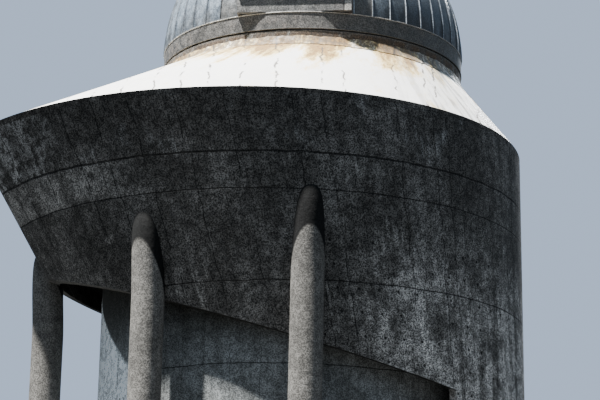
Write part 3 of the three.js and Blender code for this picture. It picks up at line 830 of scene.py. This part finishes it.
class Surface:
    """A material in the making: its weathering masks and the colour that has been laid so far. around and
    up are the two numbers of the piece's own UV map."""

    def __init__(self, name, metallic=0.0, specular=0.5):
        self.material, self.tree, self.shader = new_material(name)
        connect(metallic, self.shader.inputs["Metallic"])
        connect(specular, self.shader.inputs["Specular IOR Level"])
        self.place = object_place(self.tree)
        self.around, self.up, _ = split(add_node(self.tree, "ShaderNodeTexCoord", output="UV"))
        weather = self.use("weathering")
        self.clouds, self.blots, self.mottle, self.grain, self.pits = weather.values()

    def use(self, name, **inputs):
        """The values of a shared group, which gets the surface's around and up unless others are given."""
        node = self.tree.nodes.new("ShaderNodeGroup")
        node.node_tree = bpy.data.node_groups[name]
        for title, value in {"Around": self.around, "Up": self.up, **inputs}.items():
            if title in node.inputs:
                connect(value, node.inputs[title])
        return {socket.name: Value(socket) for socket in node.outputs}

    def begin(self, share, first, second):
        self.colour = blend(self.tree, share, first, second)

    def lay(self, share, colour):
        """Lays a colour over what is there, by a share from 0 to 1."""
        self.colour = blend(self.tree, share, self.colour, colour)

    def tint(self, factor):
        self.colour = blend(self.tree, 1.0, self.colour, factor, "MULTIPLY")

    def speckle(self, low, high):
        """Multiplies the colour by the fine grain, from a low to a high factor, and by a little mottle."""
        self.tint(ramp(self.grain, 0.0, 1.0, low, high))
        self.tint(ramp(self.mottle, 0.0, 1.0, mix(low, 1, 0.55), mix(high, 1, 0.6)))

    def finish(self, smoothest, roughest, height, strength, distance):
        """Links the colour, a roughness that follows the mottle, and a height through Bump."""
        connect(self.colour, self.shader.inputs["Base Color"])
        connect(ramp(self.mottle, 0.0, 1.0, smoothest, roughest), self.shader.inputs["Roughness"])
        bump = {"Strength": strength, "Distance": distance, "Height": height}
        connect(add_node(self.tree, "ShaderNodeBump", bump), self.shader.inputs["Normal"])
        return self.material


def new_material(name):
    """A material with its tree and Principled shader."""
    material = bpy.data.materials.new(name)
    material.use_nodes = True
    return material, material.node_tree, material.node_tree.nodes["Principled BSDF"]


def shell_concrete(name, grey, pale, joints, lower):
    """Board-marked concrete, blotched and streaked. The lower part also has tie holes and a paler right,
    partly lighter concrete and partly painted grazing light.
    """
    surface = Surface(name, specular=0.2)
    around, up = surface.around, surface.up
    fine = surface.use("streaks", Fineness=3.1)["Mask"]
    marks = surface.use("board_marks")
    surface.begin(surface.clouds * 0.85, grey, SHELL_DARK)
    if lower:
        surface.lay(ramp(up, 6.9, 7.0) * ramp(around, -3.2, -5.2) * 0.8, pale)
        # Paler lower right: partly lighter concrete, partly painted grazing light.
        surface.lay(ramp(around, 0.3, 3.2) * ramp(up, 6.6, 4.2), (0.40, 0.39, 0.375))
    else:
        surface.lay(ramp(around, -4.8, -7.0) * ramp(surface.mottle, 0.0, 0.6) * 0.8, pale)
    surface.lay(surface.blots * 0.75, SHELL_DARK)
    surface.lay(surface.use("streaks")["Mask"] * 0.65, SHELL_DARK)
    surface.lay(fine * ramp(noise(surface.place, 0.9, 3.0), 0.56, 0.68) * 0.55, pale)
    surface.lay(marks["Tone"] * 0.28, SHELL_DARK)
    surface.lay(marks["Line"] * 0.6, BLACKENED)
    surface.lay(surface.use("cracks", Spacing=1.1, Width=0.02)["Line"] * 0.85, BLACKENED)
    height = surface.mottle * 0.7 + marks["Tone"] * 0.5 - marks["Line"]
    if lower:
        dots = surface.use("tie_holes")["Dot"] * ramp(around, -1.5, 0.5) * ramp(up, 6.6, 6.0)
        surface.lay(dots * 0.9, BLACKENED)
        height = height - dots
    for level in joints:
        line = surface.use("joint_line", Level=level)["Line"]
        surface.lay(line * 0.9, BLACKENED)
        height = height - line
    surface.speckle(0.3, 1.9)
    return surface.finish(0.78, 0.97, height, 0.4, 0.01)


def lip_concrete():
    """The cut lower edge of the shell: very dark, and a little paler at the left."""
    surface = Surface("lip concrete", specular=0.2)
    left = ramp(surface.around, -11.5, -10.0) * ramp(surface.around, -3.5, -5.0)
    left = left * ramp(surface.blots, 1.0, 0.0, 0.5, 1.0)
    surface.begin(left, (0.03, 0.03, 0.027), (0.12, 0.117, 0.11))
    surface.speckle(0.5, 1.5)
    return surface.finish(0.8, 0.97, surface.mottle, 0.3, 0.006)


def column_concrete():
    """Light concrete, streaked, with painted shade on the head under the flare. The UV map gives metres round
    from the outward side and metres below the painted shade at the front."""
    surface = Surface("column concrete", specular=0.2)
    around, below = surface.around, surface.up
    surface.begin(surface.clouds, (0.165, 0.16, 0.15), (0.13, 0.126, 0.118))
    surface.lay(surface.blots * 0.55, (0.07, 0.068, 0.064))
    surface.lay(surface.use("streaks", Fineness=4.0)["Mask"] * 0.3, (0.11, 0.108, 0.10))
    # Painted shade on the head under the flare: near black, reaching further down towards the sides.
    reach = (1.0 - (around / COLUMN_RADIUS).apply("COSINE")) * 0.9
    surface.lay(ramp(below - reach, 0.06, -0.06), (0.0075, 0.008, 0.0083))
    surface.speckle(0.55, 1.4)
    return surface.finish(0.8, 0.97, surface.mottle - surface.pits, 0.45, 0.006)


def drum_concrete():
    """Smooth light concrete with hair cracks, one casting joint, painted shade on its upper part under the
    shell, and painted sunlight at the left below a slanting line."""
    surface = Surface("drum concrete", specular=0.2)
    around, up = surface.around, surface.up
    cracks = surface.use("cracks", Spacing=0.7)["Line"]
    dark = (0.05, 0.052, 0.05)
    surface.begin(surface.clouds, (0.22, 0.235, 0.24), (0.17, 0.18, 0.18))
    surface.lay(surface.blots * 0.35, dark)
    surface.lay(surface.use("streaks", Fineness=1.6)["Mask"] * 0.35, dark)
    surface.lay(cracks * 0.6, dark)
    surface.lay(surface.use("joint_line", Level=DRUM_LINE)["Line"] * 0.8, BLACKENED)
    # Painted sunlight: near white at the left below a slanting line, where the sun would reach in under the
    # flare.
    slant = up + (around - PAINTED_SUN_PLACE) * PAINTED_SUN_SLOPE
    painted_sunlight = ramp(slant, 4.25, 4.1) * ramp(around, -4.1, -4.4) * ramp(around, -9.5, -7.8)
    painted_sunlight = painted_sunlight * ramp(surface.mottle, 0.0, 0.6, 0.8, 1.0)
    surface.lay(painted_sunlight, (0.88, 0.93, 0.95))
    surface.lay(cracks * painted_sunlight, dark)
    # Painted shade on the drum's upper part under the shell, less where the painted sunlight lies.
    surface.lay(ramp(up, 3.0, 4.8) * (0.9 - painted_sunlight), (0.034, 0.034, 0.029))
    surface.speckle(0.55, 1.5)
    return surface.finish(0.8, 0.96, surface.mottle - cracks, 0.4, 0.006)


def roof_paint():
    """White paint with hair cracks, rust runs below the curb, and dirt at the right. The UV map gives metres
    round and metres down from the curb. The cracks follow the x coordinate, so they run to the front."""
    surface = Surface("roof paint")
    place, around, down = surface.place, surface.around, surface.up
    surface.begin(surface.clouds * 0.3, (0.93, 0.93, 0.92), (0.80, 0.81, 0.81))
    runs = noise(flat_place(around + RUN_SHIFT, down * 0.35), 1.5, 6.0, 0.72)
    reach = ramp(abs(around - RUST_MIDDLE), 6.0, 2.0, 0.12, 0.34)
    for middle, width, more in RUSTY_PLACES:
        reach = reach + ramp(abs(around - middle), width, 0.0, 0.0, more)
    darkened = runs * 1.7 - 0.36 + ramp(down, 2.5, 0.2) * reach
    surface.lay(ramp(darkened, 0.6, 0.84), (0.86, 0.69, 0.36))
    surface.lay(ramp(darkened, 0.72, 0.9, 0.0, 0.8), (0.50, 0.345, 0.125))
    surface.lay(ramp(darkened, 0.84, 0.98, 0.0, 0.9), (0.27, 0.155, 0.05))
    fine_rust = noise(flat_place(around, down * 0.6), 14.0, 3.0, 0.7)
    specks = ramp(fine_rust, 0.56, 0.62) * ramp(darkened, 0.78, 0.9) * 0.8
    surface.lay(specks, (0.10, 0.05, 0.025))
    edge = ramp(down, 0.40, 0.22) * ramp(noise(place, 9.0, 5.0, 0.75), 0.38, 0.53)
    surface.lay(edge * 0.9, (0.12, 0.085, 0.05))
    fine = surface.use("streaks", Fineness=2.2)["Mask"]
    surface.lay(ramp(fine, 0.0, 1.0, 0.3, 0.9) * ramp(around, 1.2, 3.4), (0.20, 0.20, 0.195))
    cracks = surface.use("cracks", Around=split(place)[0], Spacing=0.8, Width=0.036, Wander=0.5)["Line"]
    cracks = cracks * ramp(noise(flat_place(around, down), 0.9, 3.0), 0.44, 0.5)
    surface.lay(cracks * 0.9, (0.07, 0.06, 0.05))
    return surface.finish(0.55, 0.8, surface.mottle - cracks, 0.3, 0.005)


def sheet_metal(name, base, dark, rust_share, grain=(0.6, 1.4)):
    """Dull weathered sheet: clouds, dirt and a little rust, with speckle."""
    surface = Surface(name, metallic=0.25)
    surface.begin(surface.clouds, base, dark)
    surface.lay(surface.blots * 0.35, dark)
    surface.lay(surface.blots * surface.mottle * rust_share, (0.16, 0.08, 0.04))
    surface.speckle(*grain)
    return surface.finish(0.45, 0.7, surface.mottle, 0.2, 0.003)


def dome_panels():
    """Ribbed sheet: each panel has its own tone and darkens towards its ribs and its foot. The left side is
    painted lighter as painted light and the right side darker as painted shade and dirt. The rib lines are
    painted dark on the left as painted shade and pale on the right as painted highlight. The UV map gives
    bearing and elevation in radians."""
    surface = Surface("dome panels", metallic=0.35)
    bearing, elevation = surface.around, surface.up
    share = (abs(bearing) - FIRST_RIB) / RIB_SPACING
    from_middle = abs(share.apply("FRACT") - 0.5)
    tone = random_share(flat_place(share.apply("FLOOR"), bearing.apply("SIGN")))
    dark = (0.055, 0.07, 0.09)
    surface.begin(tone * 0.45, (0.165, 0.205, 0.25), dark)
    beside_rib = ramp(from_middle + ramp(elevation, 0.16, 0.0, 0.0, 0.3), 0.3, 0.5)
    surface.lay(beside_rib * 0.7, dark)
    stain = noise(flat_place(share, elevation * 2.0), 1.7, 5.0, 0.65)
    foot = ramp(elevation, 0.17, 0.0) * ramp(stain, 0.35, 0.6)
    surface.lay(foot * 0.75, (0.05, 0.052, 0.055))
    surface.lay(surface.blots * 0.3, (0.10, 0.105, 0.11))
    surface.lay(ramp(share, 0.01, -0.01) * 0.7, (0.10, 0.098, 0.092))
    # Lighter on the left side as painted light, darker on the right as painted shade and dirt.
    surface.tint(ramp(bearing, -0.2, 0.9, 1.3, 0.55))
    # Rib lines: painted shade on the lit left side, painted highlight on the shaded right side.
    rib_painted_shade_and_highlight = blend(surface.tree, ramp(bearing, -0.4, 0.2), (0.075, 0.085, 0.1), (0.27, 0.31, 0.36))
    surface.lay(ramp(from_middle, 0.466, 0.478) * 0.8, rib_painted_shade_and_highlight)
    surface.speckle(0.7, 1.3)
    return surface.finish(0.38, 0.62, surface.mottle, 0.15, 0.002)


def curb_material():
    """Grey speckled steel that turns dark brown near the roof."""
    surface = Surface("curb steel", metallic=0.1)
    level = split(surface.place)[2]
    surface.begin(surface.clouds, (0.14, 0.136, 0.128), (0.09, 0.087, 0.08))
    uneven = noise(mapped(surface.place, scale=(1, 1, 0.3)), 3.0, 6.0, 0.7)
    surface.lay(ramp(level, 11.68, 11.58) * ramp(uneven, 0.38, 0.52) * 0.95, (0.075, 0.052, 0.034))
    surface.speckle(0.45, 1.55)
    return surface.finish(0.7, 0.92, surface.mottle, 0.5, 0.006)


def make_materials():
    for make_group in (weathering_group, streak_group, board_group, joint_group, crack_group,
                       tie_hole_group):
        make_group()
    coarse = (0.5, 1.5)
    return {
        "shell concrete": shell_concrete("shell concrete", (0.14, 0.136, 0.13), (0.29, 0.283, 0.27),
                                         SHELL_LINES, True),
        "rim concrete": shell_concrete("rim concrete", (0.135, 0.130, 0.124), (0.31, 0.312, 0.31),
                                       RIM_LINES, False),
        "lip concrete": lip_concrete(),
        "column concrete": column_concrete(),
        "drum concrete": drum_concrete(),
        "roof paint": roof_paint(),
        "dome panels": dome_panels(),
        "dome metal": sheet_metal("dome metal", (0.10, 0.098, 0.095), (0.072, 0.072, 0.07), 0.1, coarse),
        "bright trim": sheet_metal("bright trim", (0.34, 0.34, 0.33), (0.2, 0.2, 0.195), 0.1),
        "shutter metal": sheet_metal("shutter metal", (0.115, 0.116, 0.114),
                                     (0.085, 0.086, 0.086), 0.1, coarse),
        "rail steel": sheet_metal("rail steel", (0.11, 0.10, 0.09), (0.06, 0.05, 0.045), 0.8),
        "curb steel": curb_material(),
        "door paint": sheet_metal("door paint", (0.07, 0.085, 0.09), (0.04, 0.045, 0.05), 0.2),
    }


# Stage, light and camera

def make_camera():
    """The photograph's view: pitched up from far below, rolled a little, with the fitted focal length."""
    data = bpy.data.cameras.new("camera")
    data.sensor_width = SENSOR_WIDTH
    data.lens = FOCAL_PIXELS / PHOTO_WIDTH * SENSOR_WIDTH
    data.clip_end = CAMERA_REACH
    camera = new_object("camera", data)
    pitch = Matrix.Rotation(math.pi / 2 + CAMERA_PITCH, 4, "X")
    roll = Matrix.Rotation(CAMERA_ROLL, 4, "Z")
    camera.matrix_world = Matrix.Translation(CAMERA_PLACE) @ pitch @ roll
    bpy.context.scene.camera = camera


def make_floor():
    """A pale disc on the ground, small enough to stay below the photograph's view. To other surfaces it is
    darker than to the camera, so that it throws little light up into the shell."""
    mesh = bpy.data.meshes.new("floor")
    points = together(*at_radius(FLOOR_RADIUS, full_turn(128)), 0.0)
    mesh.from_pydata(points.tolist(), [], [list(range(len(points)))])
    material, tree, shader = new_material("floor")
    seen = add_node(tree, "ShaderNodeLightPath", output="Is Camera Ray")
    connect(blend(tree, seen, (0.035, 0.035, 0.034), (0.30, 0.30, 0.29)), shader.inputs["Base Color"])
    connect(0.9, shader.inputs["Roughness"])
    mesh.materials.append(material)
    floor = new_object("floor", mesh)


def make_sun(name, energy, bearing, height, spread, colour):
    """A far light towards which one looks at a bearing and a height, both in degrees."""
    data = bpy.data.lights.new(name, "SUN")
    data.energy = energy
    data.angle = math.radians(spread)
    data.color = colour
    sun = new_object(name, data)
    bearing, height = math.radians(bearing), math.radians(height)
    toward = Vector((*at_radius(math.cos(height), bearing), math.sin(height)))
    sun.rotation_mode = "QUATERNION"
    sun.rotation_quaternion = toward.to_track_quat("Z", "Y")


def make_surround():
    """An even surround, dimmer from below than from above, behind a pale blue-grey backdrop."""
    world = bpy.data.worlds.new("surround")
    bpy.context.scene.world = world
    world.use_nodes = True
    tree = world.node_tree
    tree.nodes.clear()
    height = split(add_node(tree, "ShaderNodeTexCoord", output="Generated"))[2]
    colour = blend(tree, ramp(height, -0.1, 0.2), (0.13, 0.13, 0.125), (0.33, 0.42, 0.53))
    seen = add_node(tree, "ShaderNodeLightPath", output="Is Camera Ray")
    around = add_node(tree, "ShaderNodeBackground", {"Color": colour})
    backdrop = add_node(tree, "ShaderNodeBackground", {"Color": (0.50, 0.63, 0.84)})
    both = add_node(tree, "ShaderNodeMixShader", {0: seen, 1: around, 2: backdrop})
    connect(both, tree.nodes.new("ShaderNodeOutputWorld").inputs[0])


make_camera()
make_sun("key", 22, -63, 68, 2, (1.0, 0.98, 0.94))
make_sun("back", 2.5, 165, 28, 12, (0.92, 0.96, 1.0))
make_surround()
make_floor()
materials = make_materials()
paint_frame_nodes(materials)
for number in range(SHELL_SEGMENTS):
    flare_wall(number, materials["shell concrete"], materials["lip concrete"])
for number in range(ROOF_QUARTERS):
    rim_wall(number, materials["rim concrete"])
    roof_slab(number, materials["roof paint"], materials["rim concrete"])
drum(materials["drum concrete"])
for number, (bearing_degrees, meets_level, painted_shade_length) in enumerate(COLUMNS):
    column(number, bearing_degrees, meets_level, painted_shade_length, materials["column concrete"])
dome_side(-1, "left", materials["dome panels"])
dome_side(1, "right", materials["dome panels"])
dome_back(materials["dome panels"])
dome_skirt(materials["dome metal"])
dome_flashing(materials["bright trim"])
dome_curb(materials["curb steel"])
curb_collar(materials["curb steel"])
curb_fillet(materials["roof paint"])
shutter_cover(materials["shutter metal"])
shutter_apron(materials["shutter metal"], materials["bright trim"])
